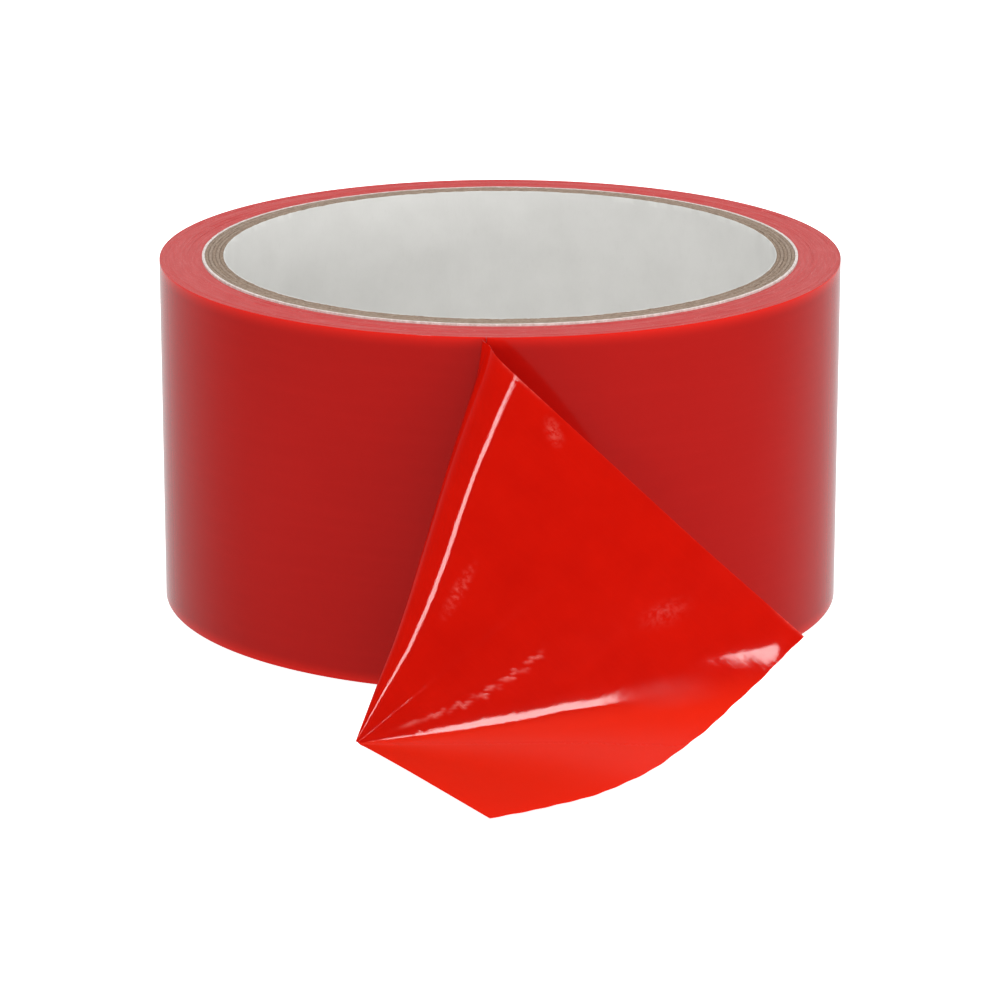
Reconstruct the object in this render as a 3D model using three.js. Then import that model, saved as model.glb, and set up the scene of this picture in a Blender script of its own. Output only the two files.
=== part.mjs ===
// A roll of red film tape: a paperboard core wound up from plies, the wound tape, and a free end that is
// peeled off the roll and folded back on itself. Millimetres, +Z up, the roll standing on its side face.
// The origin is on the core's axis, at the core's lower end.

import * as THREE from 'three';

// Core: a spiral-wound paper tube, from its bore outwards.
const BORE_RADIUS = 38;
const LINER_THICKNESS = 0.15;
const PLY_COUNT = 5;
const PLY_THICKNESS = 0.49;
const WRAP_THICKNESS = 0.38;
const GLUE_LINE = 0.02;
const CORE_LENGTH = 48.6;

// Tape: the wound turns, and the film's own thickness, drawn thicker than the real 0.05 mm.
const TAPE_WIDTH = 48;
const ROLL_RADIUS = 47;
const FILM_THICKNESS = 0.15;
const TURN_CLEARANCE = 0.06;
const TAPE_BOTTOM = (CORE_LENGTH - TAPE_WIDTH) / 2;

// Free end, in degrees and millimetres. The film leaves the roll at the peel line, which stands upright at
// PEEL_AZIMUTH (0 is -Y, positive towards +X), and runs out along WEB_HEADING, seen from its crease point.
const PEEL_AZIMUTH = -3.02;
const PEEL_CLEARANCE = 0.5;
const WEB_LENGTH = 25.38;
const WEB_HEADING = 38.7;

// The free film is one cone that could be rolled out flat. All its straight rulings meet at the crease
// point, CREASE_DEPTH below the film's lower edge. A ruling is named by its angle from the web's lower edge.
const CREASE_DEPTH = 0.3;
// It turns at three of them, each bend easing in and out over its spread on either side.
const FOLD = { at: 64.9, turn: 123.3, spread: 11.3 };
const CURL = { at: 102, turn: -34.8, spread: 14 };
const RIDGE = { at: 147.7, turn: -49.5, spread: 27.2 };

// The cut end of the tape, as distances along the flat film past the crease point.
const END_AT_TOP = 36.62;
const END_AT_BOTTOM = 37.04;

// Clearance between the web and the flap along the crease that they turn about. Film and clearance both
// run out to nothing at the crease point, where the bend is tightest.
const SEAM_WIDTH = 0.3;
const SEAM_TAPER = 0.012;
const FILM_TAPER = 0.006;
const CORNER_WIDTH = 0.4;

// Faceting.
const ROUND_SEGMENTS = 72;
const TRACE_STEP = 0.25;
const RULING_STEP = 2.5;
const FILM_ROWS = 6;

const COLOURS = {
  liner: 0xd2d2cd,
  board: 0x9b8672,
  wrap: 0xe2dcd6,
  tape: 0xc01f1a,
  film: 0xd81c0c,
};

const radians = THREE.MathUtils.degToRad;

function paper(colour) {
  return new THREE.MeshStandardMaterial({ color: colour, roughness: 0.85, metalness: 0 });
}

function plastic(colour) {
  return new THREE.MeshStandardMaterial({ color: colour, roughness: 0.18, metalness: 0 });
}

function namedMesh(name, geometry, material) {
  const mesh = new THREE.Mesh(geometry, material);
  mesh.name = name;
  return mesh;
}

// A plain ring between two radii and two heights, with its axis on Z.
function ringGeometry(inner, outer, bottom, top) {
  const profile = [
    new THREE.Vector2(inner, bottom),
    new THREE.Vector2(outer, bottom),
    new THREE.Vector2(outer, top),
    new THREE.Vector2(inner, top),
    new THREE.Vector2(inner, bottom),
  ];
  const geometry = new THREE.LatheGeometry(profile, ROUND_SEGMENTS);
  geometry.rotateX(Math.PI / 2);
  return geometry;
}

// A closed solid from a grid of points on its front and the matching grid on its back.
// grid[column][row] is { front, back }, and the front's outward side is column direction x row direction.
function sheetGeometry(grid) {
  const columns = grid.length - 1;
  const rows = grid[0].length - 1;
  const sideCount = (columns + 1) * (rows + 1);
  const positions = [];
  const index = [];
  for (const side of ['front', 'back']) {
    for (const column of grid) {
      for (const cell of column) {
        positions.push(cell[side].x, cell[side].y, cell[side].z);
      }
    }
  }
  const front = (column, row) => column * (rows + 1) + row;
  const back = (column, row) => sideCount + front(column, row);
  const quad = (a, b, c, d) => index.push(a, b, c, a, c, d);
  for (let c = 0; c < columns; c += 1) {
    for (let r = 0; r < rows; r += 1) {
      quad(front(c, r), front(c + 1, r), front(c + 1, r + 1), front(c, r + 1));
      quad(back(c, r), back(c, r + 1), back(c + 1, r + 1), back(c + 1, r));
    }
    quad(front(c, 0), back(c, 0), back(c + 1, 0), front(c + 1, 0));
    quad(front(c, rows), front(c + 1, rows), back(c + 1, rows), back(c, rows));
  }
  for (let r = 0; r < rows; r += 1) {
    quad(front(0, r), front(0, r + 1), back(0, r + 1), back(0, r));
    quad(front(columns, r), back(columns, r), back(columns, r + 1), front(columns, r + 1));
  }
  const geometry = new THREE.BufferGeometry();
  geometry.setAttribute('position', new THREE.Float32BufferAttribute(positions, 3));
  geometry.setIndex(index);
  geometry.computeVertexNormals();
  return geometry;
}

// A direction in the horizontal plane, by its azimuth from -Y towards +X.
function outwards(azimuth) {
  return new THREE.Vector3(Math.sin(radians(azimuth)), -Math.cos(radians(azimuth)), 0);
}

// The last wound turn: a strip that runs once round the roll and stops at the peel line.
function outerTurnGeometry() {
  const edge = THREE.MathUtils.radToDeg(PEEL_CLEARANCE / ROLL_RADIUS);
  const sweep = 360 - 2 * edge;
  const grid = [];
  for (let i = 0; i <= ROUND_SEGMENTS; i += 1) {
    const direction = outwards(PEEL_AZIMUTH + edge + (sweep * i) / ROUND_SEGMENTS);
    const column = [TAPE_BOTTOM, TAPE_BOTTOM + TAPE_WIDTH].map((height) => ({
      front: direction.clone().multiplyScalar(ROLL_RADIUS).setZ(height),
      back: direction.clone().multiplyScalar(ROLL_RADIUS - FILM_THICKNESS).setZ(height),
    }));
    grid.push(column);
  }
  return sheetGeometry(grid);
}

// How sharply the film turns at a ruling, in degrees of turn per degree of ruling angle.
function bendRate(angle) {
  let rate = 0;
  for (const { at, turn, spread } of [FOLD, CURL, RIDGE]) {
    const distance = Math.abs(angle - at) / spread;
    rate += distance < 1 ? (turn * (1 + Math.cos(Math.PI * distance))) / (2 * spread) : 0;
  }
  return rate;
}

// Traces the rulings' directions over the half turn from the web's lower edge to the flap's lower edge.
// ray runs out along the ruling, along crosses it in the film, and normal is the printed side's normal.
function traceRulings() {
  const rulings = [];
  const ray = outwards(180 - WEB_HEADING);
  const along = new THREE.Vector3(0, 0, 1);
  const step = radians(TRACE_STEP);
  for (let i = 0; i * TRACE_STEP <= 180; i += 1) {
    const normal = ray.clone().cross(along);
    rulings.push({ ray: ray.clone(), along: along.clone(), normal });
    const bend = bendRate((i + 0.5) * TRACE_STEP);
    const spin = normal.clone().addScaledVector(ray, bend);
    const axis = spin.clone().normalize();
    ray.applyAxisAngle(axis, spin.length() * step);
    along.applyAxisAngle(axis, spin.length() * step);
  }
  return rulings;
}

const rulings = traceRulings();
const creasePoint = outwards(PEEL_AZIMUTH)
  .multiplyScalar(ROLL_RADIUS)
  .addScaledVector(outwards(180 - WEB_HEADING), -WEB_LENGTH)
  .setZ(TAPE_BOTTOM - CREASE_DEPTH);

// The ruling at any angle, between the two traced ones beside it.
function rulingAt(angle) {
  const place = Math.min(angle / TRACE_STEP, rulings.length - 1);
  const low = Math.min(Math.floor(place), rulings.length - 2);
  const share = place - low;
  const mix = (key) => rulings[low][key].clone().lerp(rulings[low + 1][key], share).normalize();
  return { ray: mix('ray'), along: mix('along'), normal: mix('normal') };
}

// How far along a ruling the film reaches: to its upper edge, or before that to its peeled or cut end.
function filmReach(angle) {
  const sine = Math.sin(radians(angle));
  const cosine = Math.cos(radians(angle));
  const toTop = (CREASE_DEPTH + TAPE_WIDTH) / sine;
  if (angle < 90) {
    return Math.min(toTop, (WEB_LENGTH - PEEL_CLEARANCE) / cosine);
  }
  const slant = (END_AT_TOP - END_AT_BOTTOM) / TAPE_WIDTH;
  const closing = -cosine - slant * sine;
  const toCut = closing > 0 ? (END_AT_BOTTOM - slant * CREASE_DEPTH) / closing : Infinity;
  return Math.min(toTop, toCut);
}

// One ruling's row of points through the film, moved sideways off the crease where the two films meet.
function filmColumn(angle, seamSide) {
  const { ray, along, normal } = rulingAt(angle);
  const far = filmReach(angle);
  const near = Math.min(CREASE_DEPTH / Math.sin(radians(angle)), far - CORNER_WIDTH);
  const column = [];
  for (let r = 0; r <= FILM_ROWS; r += 1) {
    const reach = near + (far - near) * (r / FILM_ROWS) ** 1.5;
    const half = Math.min(FILM_THICKNESS / 2, FILM_TAPER * reach);
    const shift = seamSide * Math.min(SEAM_WIDTH / 2, SEAM_TAPER * reach);
    const middle = creasePoint.clone().addScaledVector(ray, reach).addScaledVector(along, shift);
    column.push({
      front: middle.clone().addScaledVector(normal, -half),
      back: middle.clone().addScaledVector(normal, half),
    });
  }
  return column;
}

// Angles from one ruling to another, evenly stepped, that also hit the corners given.
function rulingAngles(from, to, corners) {
  const angles = [from, ...corners, to];
  for (let angle = from + RULING_STEP; angle < to - RULING_STEP / 2; angle += RULING_STEP) {
    if (corners.every((corner) => Math.abs(corner - angle) > RULING_STEP / 4)) {
      angles.push(angle);
    }
  }
  return angles.sort((a, b) => a - b);
}

// The angle of a point of the flat film, given by its distance past the crease point and its height.
function flatAngle(past, height) {
  return THREE.MathUtils.radToDeg(Math.atan2(height + CREASE_DEPTH, -past));
}

function webGeometry() {
  const start = WEB_LENGTH - PEEL_CLEARANCE;
  const angles = rulingAngles(flatAngle(-start, 0), FOLD.at, [flatAngle(-start, TAPE_WIDTH)]);
  return sheetGeometry(angles.map((angle) => filmColumn(angle, angle === FOLD.at ? -1 : 0)));
}

function flapGeometry() {
  const corner = flatAngle(END_AT_TOP, TAPE_WIDTH);
  const angles = rulingAngles(FOLD.at, flatAngle(END_AT_BOTTOM, 0), [corner]);
  return sheetGeometry(angles.map((angle) => filmColumn(angle, angle === FOLD.at ? 1 : 0)));
}

const tapeRoll = new THREE.Group();

function addRing(name, inner, thickness, bottom, top, material) {
  tapeRoll.add(namedMesh(name, ringGeometry(inner, inner + thickness, bottom, top), material));
  return inner + thickness + GLUE_LINE;
}

let radius = addRing('core_inner_liner', BORE_RADIUS, LINER_THICKNESS, 0, CORE_LENGTH, paper(COLOURS.liner));
for (let ply = 1; ply <= PLY_COUNT; ply += 1) {
  radius = addRing(`core_board_ply_${ply}`, radius, PLY_THICKNESS, 0, CORE_LENGTH, paper(COLOURS.board));
}
radius = addRing('core_outer_wrap', radius, WRAP_THICKNESS, 0, CORE_LENGTH, paper(COLOURS.wrap));

const windingThickness = ROLL_RADIUS - FILM_THICKNESS - TURN_CLEARANCE - radius;
const tapeTop = TAPE_BOTTOM + TAPE_WIDTH;
addRing('tape_winding', radius, windingThickness, TAPE_BOTTOM, tapeTop, plastic(COLOURS.tape));

tapeRoll.add(namedMesh('tape_outer_turn', outerTurnGeometry(), plastic(COLOURS.tape)));
tapeRoll.add(namedMesh('tape_peeled_web', webGeometry(), plastic(COLOURS.film)));
tapeRoll.add(namedMesh('tape_folded_flap', flapGeometry(), plastic(COLOURS.film)));

export default tapeRoll;
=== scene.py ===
"""A roll of red film tape on a pale floor: paper core, wound turns, and a peeled, folded free end."""
import math

import bpy
import numpy as np
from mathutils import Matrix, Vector


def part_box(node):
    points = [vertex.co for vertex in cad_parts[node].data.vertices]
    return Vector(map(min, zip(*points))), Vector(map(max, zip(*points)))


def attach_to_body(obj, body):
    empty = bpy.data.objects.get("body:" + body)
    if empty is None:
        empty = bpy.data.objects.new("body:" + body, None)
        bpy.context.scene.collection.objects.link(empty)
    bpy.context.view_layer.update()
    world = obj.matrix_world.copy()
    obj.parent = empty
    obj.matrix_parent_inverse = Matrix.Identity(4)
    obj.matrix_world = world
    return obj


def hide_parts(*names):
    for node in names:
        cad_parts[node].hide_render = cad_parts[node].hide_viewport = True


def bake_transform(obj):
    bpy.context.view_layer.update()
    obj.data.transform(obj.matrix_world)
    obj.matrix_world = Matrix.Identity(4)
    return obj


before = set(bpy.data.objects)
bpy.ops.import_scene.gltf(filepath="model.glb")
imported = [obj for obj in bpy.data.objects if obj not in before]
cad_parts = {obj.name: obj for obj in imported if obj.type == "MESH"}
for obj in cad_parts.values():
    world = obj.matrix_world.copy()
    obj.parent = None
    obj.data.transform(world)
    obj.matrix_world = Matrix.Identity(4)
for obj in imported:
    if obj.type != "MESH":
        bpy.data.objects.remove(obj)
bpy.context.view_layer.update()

# Everything is worked out in millimetres and turned into metres where a mesh or an object is made.
MM = 0.001

# Core and winding: heights from the CAD nodes' boxes, radii as in the CAD. Only the winding goes 0.11 mm
# further out, because the last turn round it is drawn nearly as thin as the real film.
CORE_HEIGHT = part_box("core_outer_wrap")[1].z / MM
TAPE_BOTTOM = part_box("tape_winding")[0].z / MM
TAPE_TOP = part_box("tape_winding")[1].z / MM
TAPE_WIDTH = TAPE_TOP - TAPE_BOTTOM
BORE_RADIUS = 38.0
LINER_OUTER = 38.15
PLY_RADII = [(38.17 + 0.51 * i, 38.66 + 0.51 * i) for i in range(5)]
WRAP_RADII = (40.72, 41.10)
WINDING_RADII = (41.12, 46.90)
ROLL_RADIUS = 47.0
# The real film's thickness, which is assumed.
REAL_FILM = 0.05

# The free end: where it leaves the roll, and how the flat film is bent into a cone about its crease point.
# Its straight rulings all meet there, and each is named by its angle from the web's lower edge.
PEEL_AZIMUTH = -3.02
WEB_LENGTH = 25.38
WEB_HEADING = 38.7
ROOT_WIDTH = 3.0
CREASE_DEPTH = 0.3
# Each bend: the ruling it is centred on, how far the film turns, and its spread on either side, in degrees.
FOLD = (64.9, 123.3, 11.3)
RIDGE = (147.7, -49.5, 27.2)
CURL = (102.0, -34.8, 14.0)
# The cut end, as distances along the flat film past the crease point.
END_AT_TOP = 36.62
END_AT_BOTTOM = 37.04
FREE_THICKNESS = 0.06
TRACE_STEP = 0.1
RULING_MARGIN = 60.0

# The film can't bend to a point, so its bends are softened near the crease point, by a bell of up to
# SOFT_MOST degrees that shrinks to nothing at SOFT_REACH. The film's upper edge is softened a little too.
BELL_WIDTHS = (0.0, 1.0, 2.0, 3.0, 4.5, 6.0, 8.0, 11.0)
SOFT_REACH = 40
SOFT_PER_MM = 0.30
SOFT_MOST = 8
SOFT_EDGE = 0.6

# Near its top the peel line leans round the roll by PEEL_LEAN degrees, from LEAN_START upwards.
PEEL_LEAN = 0.85
LEAN_START = 36
# The film leaves the roll's surface over this distance from the peel line.
LIFT_OFF = 2.2

# The ruling that the ridge's crease follows, and how steeply the film rises beyond it.
RIDGE_LINE = 131.7
RIDGE_STEEPNESS = 0.13
# Marks on the flat film: centre, half width, half height and lean in degrees.
LADDER = (-3.4, 23.0, 1.2, 5.2, 13)
SCUFF = (-8.2, 46.0, 2.7, 1.3, -25)
DENT = (19.4, 38.6, 2.6, 4.6, -27)
END_DIP = (27.5, 37.8, 7.0, 14.0, -37)
END_DIP_DEPTH = 0.26
HAZE = (28.5, 31.3, 9.0, 3.6, 45)
# The zigzag crinkle's middle line on the flat film.
CRINKLE = [(1.6, 2.4), (3.1, 5.1), (5.4, 8.9), (7.9, 13.8), (8.8, 16.4),
           (9.4, 18.7), (10.3, 21.8), (10.1, 24.0), (10.6, 27.0)]

# The inner liner's helical lap: how far it climbs in a turn, where it starts, and how far it stands in.
LAP_PITCH = 96.0
LAP_START = 0.31
LAP_HEIGHT = 0.03

# How dark the glue lines are at each ply's edges.
GLUE_SHADE = (0.25, 0.7, 0.3, 0.65, 0.35)

# Brightness of the surroundings as glossy surfaces see them: position 0 is straight in front of the part,
# 0.5 beside it and 1 straight behind it.
LOW_RING = [(0.0, 0.25), (0.54, 0.27), (0.65, 0.33), (0.75, 0.43), (0.88, 0.57), (0.95, 0.75), (1.0, 1.0)]
HIGH_RING = [(0.0, 0.06), (0.5, 0.08), (0.62, 0.15), (0.8, 0.34), (0.93, 0.6), (1.0, 0.66)]
ZENITH_GLOSS = 0.35
WORLD_LIGHT = 0.97

# The strip lights stand this far from the middle of the flap, in metres.
FLAP_MIDDLE = (0.008, -0.082, 0.018)
STRIP_DISTANCE = 1.6


# ---------------------------------------------------------------- small helpers

def unit(vector):
    return vector / np.linalg.norm(vector)


def outwards(azimuth):
    """Horizontal direction by its azimuth in degrees: 0 is -Y, positive turns towards +X."""
    return np.array([math.sin(math.radians(azimuth)), -math.cos(math.radians(azimuth)), 0.0])


def smoothstep(value, low, high):
    t = np.clip((value - low) / (high - low), 0, 1)
    return t * t * (3 - 2 * t)


def ripple(angles, seed, lowest, highest, count):
    """A repeatable wavy line round a full turn, with a mean of 0 and a typical size of 1."""
    rng = np.random.RandomState(seed)
    waves = rng.randint(lowest, highest + 1, count)
    phases = rng.uniform(0, 2 * math.pi, count)
    total = sum(np.cos(wave * angles + phase) for wave, phase in zip(waves, phases))
    return total * math.sqrt(2.0 / count)


def bumps(x, y, seed, size, count=24):
    """Repeatable smooth noise over a plane: features of about the given size, with a typical height of 1."""
    rng = np.random.RandomState(seed)
    total = np.zeros(np.broadcast(x, y).shape)
    for _ in range(count):
        heading = rng.uniform(0, 2 * math.pi)
        wave = 2 * math.pi / (size * rng.uniform(0.7, 1.6))
        phase = rng.uniform(0, 2 * math.pi)
        total += np.cos(wave * (x * math.cos(heading) + y * math.sin(heading)) + phase)
    return total * math.sqrt(2.0 / count)


def make_mesh(name, points, faces, material, flat_coords=None, sharp=35):
    """A smooth-shaded mesh object from points in millimetres, with an optional UV per point."""
    mesh = bpy.data.meshes.new(name)
    mesh.from_pydata([tuple(p) for p in np.asarray(points) * MM], [], [tuple(f) for f in faces])
    mesh.polygons.foreach_set("use_smooth", [True] * len(mesh.polygons))
    if flat_coords is not None:
        layer = mesh.uv_layers.new(name="UVMap")
        corners = np.zeros(len(mesh.loops), dtype=np.int32)
        mesh.loops.foreach_get("vertex_index", corners)
        layer.data.foreach_set("uv", np.asarray(flat_coords, dtype=np.float32)[corners].ravel())
    mesh.update()
    mesh.set_sharp_from_angle(angle=math.radians(sharp))
    mesh.materials.append(material)
    obj = bpy.data.objects.new(name, mesh)
    bpy.context.scene.collection.objects.link(obj)
    return obj


def ring_angles(steps):
    return np.arange(steps) * 2 * math.pi / steps


def ring_mesh(name, radius, height, material, sharp=35):
    """A closed ring. radius and height hold one row per profile corner and one column per step round it."""
    corners, steps = radius.shape
    angles = ring_angles(steps)
    points = np.stack([radius * np.cos(angles), radius * np.sin(angles), height], axis=-1)
    faces = []
    for c in range(corners):
        following = (c + 1) % corners
        for s in range(steps):
            beside = (s + 1) % steps
            faces.append((c * steps + s, c * steps + beside,
                          following * steps + beside, following * steps + s))
    return make_mesh(name, points.reshape(-1, 3), faces, material, sharp=sharp)


def strip_solid(name, points, columns, rows, material, flat_coords=None, sharp=50):
    """Closes a sheet given as two grids, outside first, into one thin solid."""
    side = columns * rows
    faces = []
    for c in range(columns - 1):
        for r in range(rows - 1):
            a, b = c * rows + r, (c + 1) * rows + r
            faces.append((a, b, b + 1, a + 1))
            faces.append((side + a, side + a + 1, side + b + 1, side + b))
        low, high = c * rows, (c + 1) * rows
        faces.append((low, side + low, side + high, high))
        faces.append((low + rows - 1, high + rows - 1, side + high + rows - 1, side + low + rows - 1))
    last = (columns - 1) * rows
    for r in range(rows - 1):
        faces.append((r, r + 1, side + r + 1, side + r))
        faces.append((last + r, side + last + r, side + last + r + 1, last + r + 1))
    return make_mesh(name, points, faces, material, flat_coords, sharp)


# ---------------------------------------------------------------- shader helpers

class Nodes:
    """Adds nodes to a material's tree, one short call each."""

    def __init__(self, name):
        self.material = bpy.data.materials.new(name)
        self.material.use_nodes = True
        self.tree = self.material.node_tree
        self.tree.nodes.clear()
        self.output = self.tree.nodes.new("ShaderNodeOutputMaterial")

    def add(self, kind, inputs=None, **settings):
        node = self.tree.nodes.new("ShaderNode" + kind)
        for key, value in settings.items():
            setattr(node, key, value)
        for key, value in (inputs or {}).items():
            self.put(node.inputs[key], value)
        return node

    def put(self, socket, value):
        if isinstance(value, bpy.types.NodeSocket):
            self.tree.links.new(value, socket)
        else:
            socket.default_value = value

    def math(self, operation, a, b=0.0):
        return self.add("Math", {0: a, 1: b}, operation=operation).outputs[0]

    def span(self, value, low, high, to_low=0.0, to_high=1.0):
        inputs = {"Value": value, "From Min": low, "From Max": high, "To Min": to_low, "To Max": to_high}
        return self.add("MapRange", inputs, clamp=True).outputs["Result"]

    def mix(self, factor, a, b):
        node = self.add("Mix", data_type="RGBA")
        for socket, value in zip((node.inputs[0], node.inputs[6], node.inputs[7]), (factor, a, b)):
            self.put(socket, value)
        return node.outputs[2]

    def noise(self, vector, scale, detail=3.0, roughness=0.55):
        inputs = {"Vector": vector, "Scale": scale, "Detail": detail, "Roughness": roughness}
        return self.add("TexNoise", inputs).outputs["Fac"]

    def mark(self, name):
        """A value from 0 to 1 that the film's mesh holds for each point."""
        return self.add("Attribute", attribute_name=name).outputs["Fac"]

    def bump(self, height, strength, distance):
        inputs = {"Height": height, "Strength": strength, "Distance": distance}
        return self.add("Bump", inputs).outputs["Normal"]

    def place(self):
        """Object coordinates, which are metres in the part's own frame, and their x, y and z."""
        vector = self.add("TexCoord").outputs["Object"]
        return vector, self.add("SeparateXYZ", {0: vector}).outputs

    def polar(self, around, across, upwards=0.0):
        """Coordinates that follow the roll round: slow along a turn, fast from turn to turn."""
        _, xyz = self.place()
        radius = self.math("SQRT", self.math("ADD", self.math("MULTIPLY", xyz[0], xyz[0]),
                                             self.math("MULTIPLY", xyz[1], xyz[1])))
        x = self.math("MULTIPLY", self.math("DIVIDE", xyz[0], radius), around)
        y = self.math("MULTIPLY", self.math("DIVIDE", xyz[1], radius), around)
        third = self.math("MULTIPLY", radius, across)
        if upwards:
            third = self.math("ADD", third, self.math("MULTIPLY", xyz[2], upwards))
        return self.add("CombineXYZ", {0: x, 1: y, 2: third}).outputs[0], radius, xyz

    def finish(self, shader):
        self.tree.links.new(shader, self.output.inputs["Surface"])
        return self.material


def colour(red, green, blue):
    return (red, green, blue, 1.0)


# ---------------------------------------------------------------- materials

def liner_paper():
    """Smooth off-white paper with faint mottling and small fibres."""
    nodes = Nodes("liner_paper")
    vector, _ = nodes.place()
    mottle = nodes.noise(vector, 160, 4)
    fibres = nodes.noise(nodes.polar(90, 300, 900)[0], 1.0, 5, 0.7)
    tone = nodes.mix(nodes.span(mottle, 0.35, 0.65), colour(0.76, 0.755, 0.73), colour(0.80, 0.795, 0.77))
    tone = nodes.mix(nodes.span(fibres, 0.56, 0.8, 0, 0.35), tone, colour(0.70, 0.69, 0.66))
    shader = nodes.add("BsdfPrincipled", {
        "Base Color": tone, "Roughness": nodes.span(mottle, 0.3, 0.7, 0.55, 0.7),
        "Normal": nodes.bump(fibres, 0.25, 0.00006)})
    shader.inputs["Specular IOR Level"].default_value = 0.3
    return nodes.finish(shader.outputs[0])


def core_board(ply):
    """Grey-brown kraft board; each ply has its own tone, with long fibres and darker glue at its edges."""
    nodes = Nodes(f"core_board_{ply}")
    around, radius, xyz = nodes.polar(55, 4200, 1500)
    fibres = nodes.noise(around, 1.0, 6, 0.75)
    flecks = nodes.noise(nodes.place()[0], 2600, 3, 0.6)
    lift = (0.0, 0.035, 0.01, 0.045, 0.02)[ply - 1]
    light = colour(0.385 + lift, 0.29 + lift, 0.22 + lift)
    dark = colour(0.225 + lift, 0.16 + lift, 0.115 + lift)
    tone = nodes.mix(nodes.span(fibres, 0.36, 0.62), dark, light)
    tone = nodes.mix(nodes.span(flecks, 0.58, 0.75, 0, 0.5), tone, colour(0.62, 0.53, 0.43))
    inner, outer = (value * MM for value in PLY_RADII[ply - 1])
    middle = nodes.math("ABSOLUTE", nodes.math("SUBTRACT", radius, (inner + outer) / 2))
    patchy = nodes.span(nodes.noise(nodes.polar(9, 900)[0], 1.0, 2), 0.35, 0.65, 0.25, 1.0)
    glue = nodes.math("MULTIPLY", nodes.span(middle, 0.00018, 0.000245, 0, GLUE_SHADE[ply - 1]), patchy)
    tone = nodes.mix(glue, tone, colour(0.15, 0.105, 0.07))
    shader = nodes.add("BsdfPrincipled", {
        "Base Color": tone, "Roughness": 0.92,
        "Normal": nodes.bump(nodes.math("ADD", fibres, nodes.math("MULTIPLY", flecks, 0.5)), 0.7, 0.00016)})
    shader.inputs["Specular IOR Level"].default_value = 0.15
    return nodes.finish(shader.outputs[0])


def wrap_paper():
    """White cover paper of the core, with a fibrous cut edge."""
    nodes = Nodes("wrap_paper")
    around, _, _ = nodes.polar(70, 5200, 1800)
    fibres = nodes.noise(around, 1.0, 5, 0.7)
    tone = nodes.mix(nodes.span(fibres, 0.38, 0.66), colour(0.62, 0.53, 0.49), colour(0.86, 0.82, 0.79))
    shader = nodes.add("BsdfPrincipled", {
        "Base Color": tone, "Roughness": 0.85, "Normal": nodes.bump(fibres, 0.5, 0.0001)})
    shader.inputs["Specular IOR Level"].default_value = 0.2
    return nodes.finish(shader.outputs[0])


def wound_edge():
    """The end face of the winding: many film edges side by side, paler than the film, with fine streaks."""
    nodes = Nodes("wound_edge")
    around, radius, _ = nodes.polar(7, 21000)
    streaks = nodes.noise(around, 1.0, 4, 0.7)
    broad, _, _ = nodes.polar(11, 2600)
    bands = nodes.noise(broad, 1.0, 4, 0.6)
    scuffs, _, _ = nodes.polar(60, 9000)
    marks = nodes.noise(scuffs, 1.0, 5, 0.7)
    deep, light = colour(0.56, 0.015, 0.014), colour(0.66, 0.072, 0.070)
    tone = nodes.mix(nodes.span(streaks, 0.3, 0.7), deep, light)
    tone = nodes.mix(nodes.span(bands, 0.45, 0.70, 0, 0.5), tone, colour(0.70, 0.13, 0.127))
    tone = nodes.mix(nodes.span(marks, 0.60, 0.70, 0, 0.85), tone, colour(0.80, 0.38, 0.37))
    shader = nodes.add("BsdfPrincipled", {
        "Base Color": tone, "Roughness": nodes.span(streaks, 0.3, 0.7, 0.34, 0.5),
        "Normal": nodes.bump(streaks, 0.55, 0.00005)})
    shader.inputs["Specular IOR Level"].default_value = 0.45
    return nodes.finish(shader.outputs[0])


def wound_side():
    """The roll's glossy side: deep red from many turns on each other, with a painted glow near its edges for
    light that enters them.
    """
    nodes = Nodes("wound_side")
    vector, xyz = nodes.place()
    waves = nodes.noise(vector, 26, 2, 0.5)
    fine = nodes.noise(nodes.add("Mapping", {"Vector": vector, "Scale": (60, 60, 900)}).outputs[0], 1.0, 3)
    # Painted light: a lighter band along the tape's upper and lower edges, for light that enters them there.
    middle = nodes.math("ABSOLUTE", nodes.math("SUBTRACT", xyz[2], (TAPE_TOP + TAPE_BOTTOM) / 2 * MM))
    half = TAPE_WIDTH / 2 * MM
    edge = nodes.span(middle, half - 0.0018, half - 0.0001)
    edge = nodes.math("POWER", edge, 1.6)
    deep, light = colour(0.435, 0.0050, 0.0028), colour(0.472, 0.0058, 0.0034)
    tone = nodes.mix(nodes.span(waves, 0.3, 0.7), deep, light)
    tone = nodes.mix(nodes.span(fine, 0.45, 0.75, 0, 0.12), tone, colour(0.57, 0.010, 0.007))
    tone = nodes.mix(edge, tone, colour(0.76, 0.014, 0.007))
    height = nodes.math("ADD", waves, nodes.math("MULTIPLY", fine, 0.05))
    shader = nodes.add("BsdfPrincipled", {
        "Base Color": tone, "Roughness": nodes.span(waves, 0.3, 0.7, 0.07, 0.11),
        "Normal": nodes.bump(height, 0.12, 0.0004)})
    shader.inputs["IOR"].default_value = 1.5
    return nodes.finish(shader.outputs[0])


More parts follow.
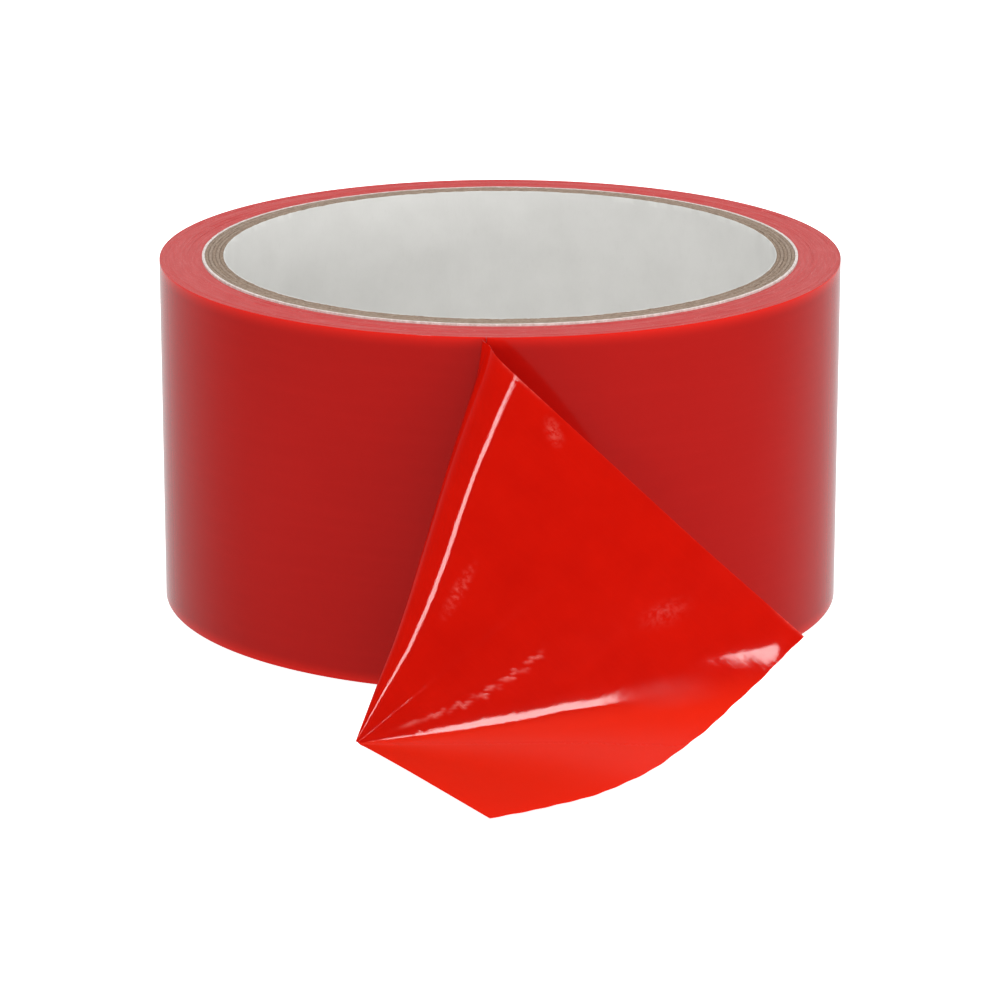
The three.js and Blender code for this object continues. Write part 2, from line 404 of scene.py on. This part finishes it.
def free_film():
    """Clear red film: glossy on both sides, saturated because the light passes through it."""
    nodes = Nodes("free_film")
    flat = nodes.add("UVMap", uv_map="UVMap").outputs[0]
    stretched = nodes.add("Mapping", {"Vector": flat, "Scale": (4, 60, 1)}).outputs[0]
    drawn = nodes.noise(stretched, 3.0, 4, 0.6)
    cloudy = nodes.noise(flat, 9, 3, 0.5)
    creased = nodes.mark("crinkle")
    handled = nodes.mark("smudge")
    grit = nodes.noise(flat, 75, 4, 0.65)
    # The crinkle is painted paler: a painted glint, on top of its real crease, bump and roughness.
    crease_and_glint = nodes.math("MULTIPLY", creased, nodes.span(grit, 0.30, 0.55, 0.6, 1.0))
    print_marks = nodes.math("MULTIPLY", handled, nodes.span(grit, 0.42, 0.58, 0.05, 1.0))
    marks_and_highlights = nodes.math("MAXIMUM", crease_and_glint, nodes.math("MULTIPLY", print_marks, 0.8))
    deep, light = colour(0.72, 0.0070, 0.0012), colour(0.77, 0.0088, 0.0016)
    tone = nodes.mix(nodes.span(cloudy, 0.3, 0.7), deep, light)
    tone = nodes.mix(nodes.span(drawn, 0.5, 0.8, 0, 0.25), tone, colour(0.90, 0.013, 0.004))
    # Painted light: the lower facet, beyond the ridge, painted lighter for the light that falls on it from
    # above and through it.
    lit = nodes.mark("glow")
    tone = nodes.mix(lit, tone, colour(1.0, 0.027, 0.0055))
    # Painted highlight: a pale line along the flap's upper edge, broken up by the grit.
    painted_rim_highlight = nodes.math("POWER", nodes.mark("painted_rim_highlight"), 3.0)
    marks_and_highlights = nodes.math("MAXIMUM", marks_and_highlights, nodes.math("MULTIPLY", painted_rim_highlight, nodes.span(grit, 0.4, 0.6, 0.3, 0.9)))
    # Real handling marks, plus the crinkle's painted glint and the upper edge's painted highlight, mixed in
    # paler.
    tone = nodes.mix(nodes.math("MULTIPLY", marks_and_highlights, 0.7), tone, colour(1.0, 0.15, 0.11))
    relief = nodes.math("ADD", cloudy, nodes.math("MULTIPLY", drawn, 0.06))
    relief = nodes.math("ADD", relief, nodes.math("MULTIPLY", marks_and_highlights, 0.12))
    normal = nodes.bump(relief, 0.1, 0.0004)
    rough = nodes.math("ADD", nodes.span(drawn, 0.3, 0.7, 0.035, 0.06), nodes.math("MULTIPLY", marks_and_highlights, 0.3))
    hazy = nodes.mark("haze")
    rough = nodes.math("ADD", rough, nodes.math("MULTIPLY", hazy, 0.34))
    gloss = nodes.add("BsdfPrincipled", {"Base Color": tone, "Roughness": rough, "Normal": normal})
    gloss.inputs["IOR"].default_value = 1.5
    glow = nodes.mix(nodes.span(cloudy, 0.3, 0.7), colour(0.84, 0.038, 0.010), colour(0.89, 0.046, 0.012))
    through = nodes.add("BsdfTranslucent", {"Color": glow, "Normal": normal})
    both = nodes.add("MixShader", {0: 0.38, 1: gloss.outputs[0], 2: through.outputs[0]})
    return nodes.finish(both.outputs[0])


def floor_paint():
    """Plain white floor that stays evenly bright to the camera and bounces soft light."""
    nodes = Nodes("floor_white")
    seen = nodes.add("LightPath").outputs["Is Camera Ray"]
    matt = nodes.add("BsdfDiffuse", {"Color": colour(0.8, 0.8, 0.8)})
    bright = nodes.add("Emission", {"Color": colour(1, 1, 1), "Strength": 0.93})
    lit = nodes.add("AddShader", {0: matt.outputs[0], 1: bright.outputs[0]})
    both = nodes.add("MixShader", {0: seen, 1: matt.outputs[0], 2: lit.outputs[0]})
    return nodes.finish(both.outputs[0])


# ---------------------------------------------------------------- core

def build_liner():
    """The thin inner liner: one layer of paper, laid with a helical lap that stands in a hair."""
    steps = 480
    angles = ring_angles(steps)
    heights = np.concatenate([[0.0, 0.06], np.linspace(1.0, CORE_HEIGHT - 1.0, 60), [CORE_HEIGHT - 0.06]])
    radius = []
    height = []
    for level in heights:
        turn = (angles / (2 * math.pi) + level / LAP_PITCH + LAP_START) % 1.0
        lap = LAP_HEIGHT * smoothstep(turn, 0.0, 0.012) * (1 - smoothstep(turn, 0.05, 0.30))
        radius.append(BORE_RADIUS + 0.04 - lap)
        height.append(np.full(steps, level))
    ragged = np.clip(0.02 * ripple(angles, 11, 20, 140, 30), -0.06, 0.015)
    radius += [np.full(steps, level) for level in (BORE_RADIUS + 0.06, LINER_OUTER - 0.02, LINER_OUTER)]
    height += [CORE_HEIGHT + ragged - 0.03, CORE_HEIGHT + ragged - 0.04, np.full(steps, CORE_HEIGHT - 0.1)]
    radius += [np.full(steps, LINER_OUTER)]
    height += [np.zeros(steps)]
    return ring_mesh("core_liner", np.array(radius), np.array(height), liner_paper())


def ragged_ring(name, radii, material, seed, rough, dome, sunk=0.04, steps=720, across=7):
    """A paper ring whose cut ends are fibrous: the end faces dip and rise along and across the ply."""
    inner, outer = radii
    angles = ring_angles(steps)
    shares = np.linspace(0, 1, across)
    radius = []
    height = []
    for side in ("bottom", "top"):
        level = 0.0 if side == "bottom" else CORE_HEIGHT
        inward = 1 if side == "bottom" else -1
        order = shares if side == "bottom" else shares[::-1]
        for k, share in enumerate(order):
            wander = ripple(angles, seed + 31 * k + (500 if side == "top" else 0), 25, 240, 40)
            shared = ripple(angles, seed + 7, 5, 60, 20)
            edge = abs(2 * share - 1) ** 3
            depth = sunk + rough * (0.6 * wander + 0.5 * shared) + dome * edge
            radius.append(np.full(steps, inner + (outer - inner) * share))
            height.append(level + inward * np.clip(depth, 0.0, 0.4))
    return ring_mesh(name, np.array(radius), np.array(height), material)


def build_plies():
    return [ragged_ring(f"core_ply_{ply}", PLY_RADII[ply - 1], core_board(ply), 100 * ply, 0.035, 0.09)
            for ply in range(1, 6)]


def build_wrap():
    return ragged_ring("core_wrap", WRAP_RADII, wrap_paper(), 900, 0.014, 0.03, sunk=0.035)


# ---------------------------------------------------------------- winding

def build_winding():
    """The wound tape: the end faces show groups of turns that stand a little proud or back."""
    steps = 384
    bands = 66
    inner, outer = WINDING_RADII
    angles = ring_angles(steps)
    shares = np.linspace(0, 1, bands)
    radius = []
    height = []
    for side in ("bottom", "top"):
        rng = np.random.RandomState(41 if side == "bottom" else 42)
        level = TAPE_BOTTOM if side == "bottom" else TAPE_TOP
        inward = 1 if side == "bottom" else -1
        offsets = rng.uniform(0, 1, bands)
        order = shares if side == "bottom" else shares[::-1]
        for k, share in enumerate(order):
            wander = 0.5 * ripple(angles, 2000 + k + (300 if side == "top" else 0), 1, 9, 8)
            depth = 0.07 * offsets[k] + 0.018 * wander + 0.012
            drift = 0.02 * ripple(angles, 77, 2, 7, 5) * math.sin(math.pi * share)
            radius.append(inner + (outer - inner) * share + drift)
            height.append(level + inward * np.clip(depth, 0.0, 0.2))
    return ring_mesh("tape_turns", np.array(radius), np.array(height), wound_edge(), sharp=60)


def build_last_turn():
    """The outermost turn, a true spiral strip that comes in by one film's thickness over its one turn."""
    steps = 480
    rows = 24
    sweep = np.linspace(0.12, 359.88, steps + 1)
    heights = np.concatenate([[0, 0.05], np.linspace(0.3, TAPE_WIDTH - 0.3, rows - 3),
                              [TAPE_WIDTH - 0.05, TAPE_WIDTH]])
    rounding = np.where((heights < 0.02) | (heights > TAPE_WIDTH - 0.02), 0.03, 0.0)
    points = []
    for inside in (False, True):
        for angle in sweep:
            level = ROLL_RADIUS - REAL_FILM * angle / 360.0 - (0.055 if inside else 0.0)
            for row, height in enumerate(heights):
                lean = float(peel_lean(height)) * max(1 - angle / 10, angle / 10 - 35, 0)
                direction = outwards(PEEL_AZIMUTH + lean + angle)
                swell = 0.006 * math.sin(height / TAPE_WIDTH * math.pi) - 0.006
                r = level + (swell - rounding[row] if not inside else swell + rounding[row] * 0.2)
                points.append([direction[0] * r, direction[1] * r, TAPE_BOTTOM + height])
    return strip_solid("tape_last_turn", np.array(points), steps + 1, len(heights), wound_side())


# ---------------------------------------------------------------- free film

def bend_rate(angle):
    """How sharply the film turns at a ruling, in degrees of turn per degree of ruling angle."""
    total = 0.0
    for at, turn, spread in (FOLD, CURL, RIDGE):
        distance = abs(angle - at) / spread
        if distance < 1:
            total += turn * (1 + math.cos(math.pi * distance)) / (2 * spread)
    return total


def trace_rulings():
    """The rulings' directions from RULING_MARGIN before the web's lower edge to as far past the flap's."""
    ray = outwards(180 - WEB_HEADING)
    along = np.array([0.0, 0.0, 1.0])
    step = math.radians(TRACE_STEP)
    rays, alongs = [], []
    count = int(round(180 / TRACE_STEP)) + 1
    for i in range(count):
        rays.append(ray)
        alongs.append(along)
        spin = np.cross(ray, along) + ray * bend_rate((i + 0.5) * TRACE_STEP)
        amount = np.linalg.norm(spin) * step
        axis = unit(spin)
        ray, along = (turned(v, axis, amount) for v in (ray, along))
    beyond = np.arange(1, int(RULING_MARGIN / TRACE_STEP) + 1) * step
    before = beyond[::-1]
    first, last = (rays[0], alongs[0]), (rays[-1], alongs[-1])
    rays = np.concatenate([fan(first, -before, 0), rays, fan(last, beyond, 0)])
    alongs = np.concatenate([fan(first, -before, 1), alongs, fan(last, beyond, 1)])
    return rays, alongs


def fan(pair, turns, which):
    """Directions in the flat plane of a ray and its along direction, turned by the given angles."""
    ray, along = pair
    turns = np.asarray(turns)[:, None]
    if which == 0:
        return np.cos(turns) * ray + np.sin(turns) * along
    return np.cos(turns) * along - np.sin(turns) * ray


def softened(rays, width):
    """The rulings' directions averaged over a bell of the given width in degrees."""
    if width <= 0:
        return rays
    reach = int(3 * width / TRACE_STEP)
    offsets = np.arange(-reach, reach + 1) * TRACE_STEP
    bell = np.exp(-0.5 * (offsets / width) ** 2)
    bell /= bell.sum()
    padded = np.pad(rays, ((reach, reach), (0, 0)), mode="edge")
    mixed = np.stack([np.convolve(padded[:, k], bell, mode="valid") for k in range(3)], axis=-1)
    return mixed / np.linalg.norm(mixed, axis=1, keepdims=True)


def turned(vector, axis, amount):
    """A vector turned about a unit axis."""
    sideways = np.cross(axis, vector)
    kept = axis * (axis @ vector) * (1 - math.cos(amount))
    return vector * math.cos(amount) + sideways * math.sin(amount) + kept


def crease_point():
    point = ROLL_RADIUS * outwards(PEEL_AZIMUTH) - WEB_LENGTH * outwards(180 - WEB_HEADING)
    point[2] = TAPE_BOTTOM - CREASE_DEPTH
    return point


def film_reach(angle):
    """How far along a ruling the film goes: to its upper edge, its root or its cut end."""
    sine, cosine = math.sin(math.radians(angle)), math.cos(math.radians(angle))
    to_top = (CREASE_DEPTH + TAPE_WIDTH) / sine
    if angle < 90:
        return min(to_top, (WEB_LENGTH - ROOT_WIDTH) / cosine)
    slant = (END_AT_TOP - END_AT_BOTTOM) / TAPE_WIDTH
    closing = -cosine - slant * sine
    if closing <= 0:
        return to_top
    to_end = (END_AT_BOTTOM - slant * CREASE_DEPTH) / closing
    height = to_end * sine
    to_end -= 0.07 * (2 + math.sin(0.72 * height + 0.6) + math.sin(1.9 * height + 2.0))
    return min(to_top, to_end)


def film_angles():
    """Ruling angles, close together wherever the film bends, that also hit its corners."""
    corners = [math.degrees(math.atan2(TAPE_WIDTH + CREASE_DEPTH, WEB_LENGTH - ROOT_WIDTH)),
               math.degrees(math.atan2(TAPE_WIDTH + CREASE_DEPTH, -END_AT_TOP))]
    first = math.degrees(math.atan2(CREASE_DEPTH, WEB_LENGTH)) + 0.02
    last = 180 - math.degrees(math.atan2(CREASE_DEPTH, END_AT_BOTTOM)) - 0.02
    steps = ((2.0, 50.0, 1.5), (50.0, 92.0, 0.3), (92.0, 178.9, 0.45))
    angles = np.concatenate([np.arange(*step) for step in steps])
    angles = [a for a in angles if min(abs(a - c) for c in corners) > 0.12]
    return np.array(sorted(angles + corners + [first, last]))


def polyline_frame(x, y, path):
    """Signed distance from a line through the path's points, and the distance along it, for every point."""
    best = np.full(x.shape, 1e9)
    side = np.zeros(x.shape)
    along = np.zeros(x.shape)
    start = 0.0
    for (ax, ay), (bx, by) in zip(path[:-1], path[1:]):
        length = math.hypot(bx - ax, by - ay)
        ux, uy = (bx - ax) / length, (by - ay) / length
        t = np.clip((x - ax) * ux + (y - ay) * uy, 0, length)
        dx, dy = x - ax - t * ux, y - ay - t * uy
        distance = np.hypot(dx, dy)
        nearer = distance < best
        best = np.where(nearer, distance, best)
        side = np.where(nearer, ux * dy - uy * dx, side)
        along = np.where(nearer, start + t, along)
        start += length
    return side, along


def spot(x, y, cx, cy, wide, high, lean=0.0):
    """1 in the middle of an oval spot on the flat film, 0 outside it."""
    c, s = math.cos(math.radians(lean)), math.sin(math.radians(lean))
    u = ((x - cx) * c + (y - cy) * s) / wide
    v = (-(x - cx) * s + (y - cy) * c) / high
    return np.clip(1 - (u * u + v * v), 0, 1) ** 2


def crinkle_line(x, y):
    """The zigzag crease that runs up from the crease point: 1 on it, 0 away from it."""
    side, along = polyline_frame(x, y, CRINKLE)
    zigzag = 0.40 * np.sin(along * 2.9 + 0.8 * np.sin(along * 0.7)) + 0.28 * np.sin(along * 6.1 + 1.0)
    zigzag = zigzag * smoothstep(along, 3.0, 14.0)
    ends = smoothstep(along, 1.0, 6.0) * (1 - smoothstep(along, 23.0, 25.2))
    return np.exp(-((side - zigzag) / 0.30) ** 2) * ends * (0.65 + 0.35 * np.sin(along * 1.7 + 0.5))


def smudge_map(x, y):
    """The dull patches left by fingers: 1 in the middle of one, 0 away from them."""
    rungs = 0.5 + 0.5 * np.sin((y - 0.2 * x) * 7.5)
    ladder = spot(x, y, *LADDER) * rungs
    scuff = spot(x, y, *SCUFF)
    dent = spot(x, y, *DENT) * 0.35
    return np.clip(1.4 * ladder + scuff + dent, 0, 1)


def ridge_crease(x, y):
    """A crease along the ridge, sharp near the crease point and dying out towards the far edge."""
    reach = np.hypot(x, y + CREASE_DEPTH)
    angle = np.degrees(np.arctan2(y + CREASE_DEPTH, -x))
    side = np.radians(angle - RIDGE_LINE) * reach - 0.65 * smoothstep(reach, 0, 6)
    side -= 0.45 * smoothstep(reach, 0, 8) * (1 - smoothstep(reach, 22, 30))
    steep = RIDGE_STEEPNESS * (1 - smoothstep(reach, 28, 50)) * smoothstep(reach, 0.3, 2.0)
    width = 0.12 + 0.012 * reach
    lifted = 0.5 * (side + np.sqrt(side ** 2 + width ** 2))
    return steep * lifted * np.exp(-np.clip(side, 0, None) / (2 + 0.25 * reach))


def handling_marks(x, y):
    """Heights in millimetres of the creases, dents and soft waves left in the film by handling."""
    marks = 0.008 * crinkle_line(x, y)
    marks += ridge_crease(x, y)
    marks += 0.012 * spot(x, y, *LADDER) * np.sin((y - 0.2 * x) * 6.5)
    marks += 0.03 * spot(x, y, *SCUFF) * bumps(x, y, 8, 1.6)
    marks += 0.02 * spot(x, y, *DENT) * bumps(x, y, 9, 3.4)
    marks -= END_DIP_DEPTH * spot(x, y, *END_DIP)
    free = smoothstep(np.hypot(x, y), 3, 18)
    marks += free * (0.02 * bumps(x, y, 10, 24, 14) + 0.002 * bumps(x, y, 12, 7))
    return marks * smoothstep(x, -22, -12)


def film_surface(angle, reach):
    """Middle-surface points of the ideal film, their outward normals and flat coordinates."""
    rays, alongs = trace_rulings()
    widths = np.array(BELL_WIDTHS)
    bells = np.array([softened(rays, width) for width in widths])
    place = (angle + RULING_MARGIN) / TRACE_STEP
    k = place.astype(int)
    share = (place - k)[..., None]
    wanted = np.clip(SOFT_PER_MM * (SOFT_REACH - reach), 0, SOFT_MOST)
    wanted = wanted * (1 - 0.9 * smoothstep(angle, 80, 92)) + SOFT_EDGE * smoothstep(reach, 45, 54)
    level = np.interp(wanted, widths, np.arange(len(widths)))
    low = np.minimum(level.astype(int), len(widths) - 2)
    part = (level - low)[..., None]
    narrow = bells[low, k] * (1 - share) + bells[low, k + 1] * share
    wide = bells[low + 1, k] * (1 - share) + bells[low + 1, k + 1] * share
    ray = narrow * (1 - part) + wide * part
    ray = ray / np.linalg.norm(ray, axis=-1, keepdims=True)
    middle = crease_point() + reach[..., None] * ray
    normal = np.cross(rays[k], alongs[k])
    x = -reach * np.cos(np.radians(angle))
    y = reach * np.sin(np.radians(angle)) - CREASE_DEPTH
    return middle, normal, np.stack([x, y], axis=-1)


def film_grid():
    """Ruling angle and distance along the ruling for every point of the film beyond its root."""
    angles = film_angles()
    rows = 118
    shares = np.linspace(0, 1, rows) ** 1.25
    reach = np.zeros((len(angles), rows))
    for i, angle in enumerate(angles):
        far = film_reach(angle)
        near = min(CREASE_DEPTH / math.sin(math.radians(angle)), far - 0.12)
        reach[i] = near + (far - near) * shares
    return np.repeat(angles[:, None], rows, axis=1), reach


def root_grid():
    """The same for the root: the narrow strip between the peel line and the rest of the film."""
    heights = np.linspace(0, TAPE_WIDTH, 97)[:, None]
    run = (WEB_LENGTH - np.linspace(ROOT_WIDTH, 0, 13))[None, :]
    height = heights + CREASE_DEPTH + 0 * run
    run = run + 0 * height
    return np.degrees(np.arctan2(height, run)), np.hypot(run, height)


def peel_lean(height):
    """How far the peel line leans round the roll near its top, in degrees."""
    return PEEL_LEAN * smoothstep(height, LEAN_START, TAPE_WIDTH)


def shape_film(angle, middle, normal, flat):
    """Works the ideal cone into the handled film: marks, a bowed fold, and a start that meets the roll."""
    x, y = flat[..., 0], flat[..., 1]
    reach = np.hypot(x, y + CREASE_DEPTH)
    middle = middle - normal * handling_marks(x, y)[..., None]
    hollow = smoothstep(reach, 0, 10) * (1 - smoothstep(reach, 22, 36))
    near_fold = smoothstep(angle, 40, 60) * (1 - smoothstep(angle, 76, 91))
    tip = np.exp(-(reach / 9.0) ** 2) * smoothstep(reach, 0, 0.5)
    middle[..., 0] -= (0.15 * tip + 0.2 * hollow) * near_fold
    from_peel = WEB_LENGTH + x
    on_the_roll = 1 - smoothstep(from_peel, 0, LIFT_OFF)
    azimuth = np.radians(PEEL_AZIMUTH + peel_lean(y)) - from_peel / ROLL_RADIUS
    radius = ROLL_RADIUS - REAL_FILM / 2 + 0.25 * from_peel
    start = np.stack([radius * np.sin(azimuth), -radius * np.cos(azimuth), middle[..., 2]], axis=-1)
    return middle + (start - middle) * (on_the_roll * (from_peel < LIFT_OFF))[..., None]


def grid_normals(middle, fallback):
    """Surface normals of the shaped film, pointing the same way as the ideal ones."""
    around = np.gradient(middle, axis=0)
    outward = np.gradient(middle, axis=1)
    found = np.cross(outward, around)
    length = np.linalg.norm(found, axis=-1, keepdims=True)
    found = np.where(length > 1e-9, found / np.maximum(length, 1e-9), fallback)
    sign = np.sign((found * fallback).sum(-1, keepdims=True))
    return found * np.where(sign == 0, 1, sign)


def film_piece(name, angle, reach, material):
    """One piece of the free end as a thin solid, and its shaped middle surface."""
    middle, normal, flat = film_surface(angle, reach)
    middle = shape_film(angle, middle, normal, flat)
    normal = grid_normals(middle, normal)
    half = np.minimum(FREE_THICKNESS / 2, 0.02 * reach)[..., None]
    sides = (middle - normal * half, middle + normal * half)
    points = np.concatenate([side.reshape(-1, 3) for side in sides])
    points[:, 2] = np.maximum(points[:, 2], 0.02)
    coords = np.concatenate([flat.reshape(-1, 2)] * 2) / 60.0 + 0.45
    piece = strip_solid(name, points, *reach.shape, material, coords)
    for mark, values in film_marks(flat[..., 0].ravel(), flat[..., 1].ravel()).items():
        layer = piece.data.attributes.new(mark, "FLOAT", "POINT")
        layer.data.foreach_set("value", np.concatenate([values, values]).astype(np.float32))
    return piece, middle


def film_marks(x, y):
    """What the film's material needs to know about each point, by name, from 0 to 1."""
    ruling = np.degrees(np.arctan2(y + CREASE_DEPTH, -x))
    haze = np.maximum(0.45 * spot(x, y, *HAZE), 0.8 * smoothstep(ruling, RIDGE_LINE + 4, RIDGE_LINE + 13))
    ends = 1 - smoothstep(x, -14, -9) * (1 - smoothstep(x, 29, 33))
    # A painted highlight along the flap's upper edge, strongest towards its ends.
    painted_rim_highlight = (0.5 + 0.5 * ends) * smoothstep(ruling, 62, 70) * smoothstep(y, TAPE_WIDTH - 0.7, TAPE_WIDTH)
    # glow marks the lower facet beyond the ridge, which the material paints lighter as painted light.
    return {"crinkle": crinkle_line(x, y), "smudge": smudge_map(x, y), "haze": haze, "painted_rim_highlight": painted_rim_highlight,
            "glow": smoothstep(ruling, RIDGE_LINE - 3, RIDGE_LINE + 5)}


def build_film(material):
    """The free end beyond its root, over the fold to the cut end."""
    film, _ = film_piece("tape_free_film", *film_grid(), material)
    along = trace_rulings()[1][int(round((FOLD[0] + RULING_MARGIN) / TRACE_STEP))]
    start, end = (tuple((crease_point() + sign * 2.8 * along) * MM) for sign in (-1, 1))
    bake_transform(film)
    return film


def build_root(material):
    """The strip that bends where the film leaves the roll."""
    root, middle = film_piece("tape_film_root", *root_grid(), material)
    start, end = middle[0, -1] * MM, middle[0, 1] * MM
    end[2] = start[2]
    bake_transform(root)
    return root


# ---------------------------------------------------------------- stage

def add_floor():
    mesh = bpy.data.meshes.new("floor")
    size = 4.0
    corners = [(-size, -size, 0), (size, -size, 0), (size, size, 0), (-size, size, 0)]
    mesh.from_pydata(corners, [], [(0, 1, 2, 3)])
    mesh.materials.append(floor_paint())
    floor = bpy.data.objects.new("floor", mesh)
    bpy.context.scene.collection.objects.link(floor)
    floor.visible_glossy = False


def add_world():
    """Soft even light all round. Seen in glossy surfaces, it is dim in front and bright behind the part."""
    world = bpy.data.worlds.new("studio")
    bpy.context.scene.world = world
    world.use_nodes = True
    tree = world.node_tree
    tree.nodes.clear()
    link = tree.links.new
    coord = tree.nodes.new("ShaderNodeTexCoord")
    parts = tree.nodes.new("ShaderNodeSeparateXYZ")
    link(coord.outputs["Generated"], parts.inputs[0])
    flat = tree.nodes.new("ShaderNodeCombineXYZ")
    link(parts.outputs[0], flat.inputs[0])
    link(parts.outputs[1], flat.inputs[1])
    level = tree.nodes.new("ShaderNodeVectorMath")
    level.operation = "NORMALIZE"
    link(flat.outputs[0], level.inputs[0])
    facing = tree.nodes.new("ShaderNodeSeparateXYZ")
    link(level.outputs[0], facing.inputs[0])
    backwards = span_node(tree, facing.outputs[1], -1, 1)
    low = ramp_node(tree, backwards, LOW_RING)
    high = ramp_node(tree, backwards, HIGH_RING)
    ring = mix_node(tree, span_node(tree, parts.outputs[2], -0.03, 0.10), low, high)
    glossy = mix_node(tree, span_node(tree, parts.outputs[2], 0.86, 0.97), ring, ZENITH_GLOSS)
    path = tree.nodes.new("ShaderNodeLightPath")
    lit = mix_node(tree, path.outputs["Is Glossy Ray"], WORLD_LIGHT, glossy)
    strength = mix_node(tree, path.outputs["Is Camera Ray"], lit, 1.0)
    background = tree.nodes.new("ShaderNodeBackground")
    link(strength, background.inputs["Strength"])
    out = tree.nodes.new("ShaderNodeOutputWorld")
    link(background.outputs[0], out.inputs["Surface"])


def span_node(tree, value, low, high):
    node = tree.nodes.new("ShaderNodeMapRange")
    node.inputs["From Min"].default_value = low
    node.inputs["From Max"].default_value = high
    tree.links.new(value, node.inputs["Value"])
    return node.outputs[0]


def mix_node(tree, factor, a, b):
    node = tree.nodes.new("ShaderNodeMix")
    for socket, value in zip(node.inputs[0:1] + node.inputs[2:4], (factor, a, b)):
        if isinstance(value, bpy.types.NodeSocket):
            tree.links.new(value, socket)
        else:
            socket.default_value = value
    return node.outputs[0]


def ramp_node(tree, value, stops):
    ramp = tree.nodes.new("ShaderNodeValToRGB")
    while len(ramp.color_ramp.elements) < len(stops):
        ramp.color_ramp.elements.new(0.5)
    for element, (position, level) in zip(ramp.color_ramp.elements, stops):
        element.position = position
        element.color = (level, level, level, 1)
    tree.links.new(value, ramp.inputs[0])
    return ramp.outputs[0]


def add_area(name, location, target, size, power, glossy=True, diffuse=True):
    """A rectangular soft light, width by height in metres, that points at a target."""
    light = bpy.data.lights.new(name, "AREA")
    light.shape = "RECTANGLE"
    light.size, light.size_y = size
    light.energy = power
    lamp = bpy.data.objects.new(name, light)
    bpy.context.scene.collection.objects.link(lamp)
    lamp.location = location
    aim = Vector(target) - Vector(location)
    lamp.rotation_euler = aim.to_track_quat("-Z", "Y").to_euler()
    lamp.visible_glossy = glossy
    lamp.visible_diffuse = diffuse
    lamp.visible_camera = False


def add_strip(name, azimuth, elevation, size, power, diffuse=True):
    """A light for one of the film's highlights, placed by its direction from the middle of the flap."""
    direction = outwards(azimuth) * math.cos(math.radians(elevation))
    direction[2] = math.sin(math.radians(elevation))
    location = tuple(np.array(FLAP_MIDDLE) + STRIP_DISTANCE * direction)
    add_area(name, location, FLAP_MIDDLE, size, power, diffuse=diffuse)


def add_lights():
    add_area("overhead", (-0.03, -0.05, 0.9), (0, 0, 0.02), (0.9, 0.9), 1.75, glossy=False)
    add_area("front_key", (0.0, -0.55, 0.8), (0, 0, 0.02), (0.3, 0.3), 1.25, glossy=False)
    add_area("right_fill", (0.75, -0.6, 0.10), (0, 0, 0.02), (0.6, 0.2), 2.2, glossy=False)
    add_strip("fold_strip", -26.6, 21.6, (0.175, 0.165), 1.46)
    add_strip("fold_strip_top", -27.8, 25.4, (0.114, 0.0495), 0.285, diffuse=False)
    add_strip("ridge_strip", -92.3, 52.3, (0.119, 0.105), 0.66)


def add_camera():
    camera = bpy.data.cameras.new("camera")
    camera.lens = 166.5
    camera.sensor_width = 36
    camera.clip_start = 0.01
    holder = bpy.data.objects.new("camera", camera)
    bpy.context.scene.collection.objects.link(holder)
    holder.location = (0.0, -0.6226, 0.1958)
    holder.rotation_euler = (math.radians(73.614), 0.0, 0.0)
    bpy.context.scene.camera = holder


def attach(obj, body, finish_slot, *nodes):
    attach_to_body(obj, body)
    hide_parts(*nodes)


def build_all():
    attach(build_liner(), "roll", "liner_paper", "core_inner_liner")
    for number, ply in enumerate(build_plies(), start=1):
        attach(ply, "roll", "core_board", f"core_board_ply_{number}")
    attach(build_wrap(), "roll", "wrap_paper", "core_outer_wrap")
    attach(build_winding(), "roll", "wound_tape", "tape_winding")
    attach(build_last_turn(), "roll", "wound_tape", "tape_outer_turn")
    film_material = free_film()
    build_root(film_material)
    film = build_film(film_material)
    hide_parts("tape_peeled_web", "tape_folded_flap")


bpy.context.scene.view_settings.view_transform = "Standard"
bpy.context.scene.view_settings.look = "None"
build_all()
add_floor()
add_world()
add_lights()
add_camera()
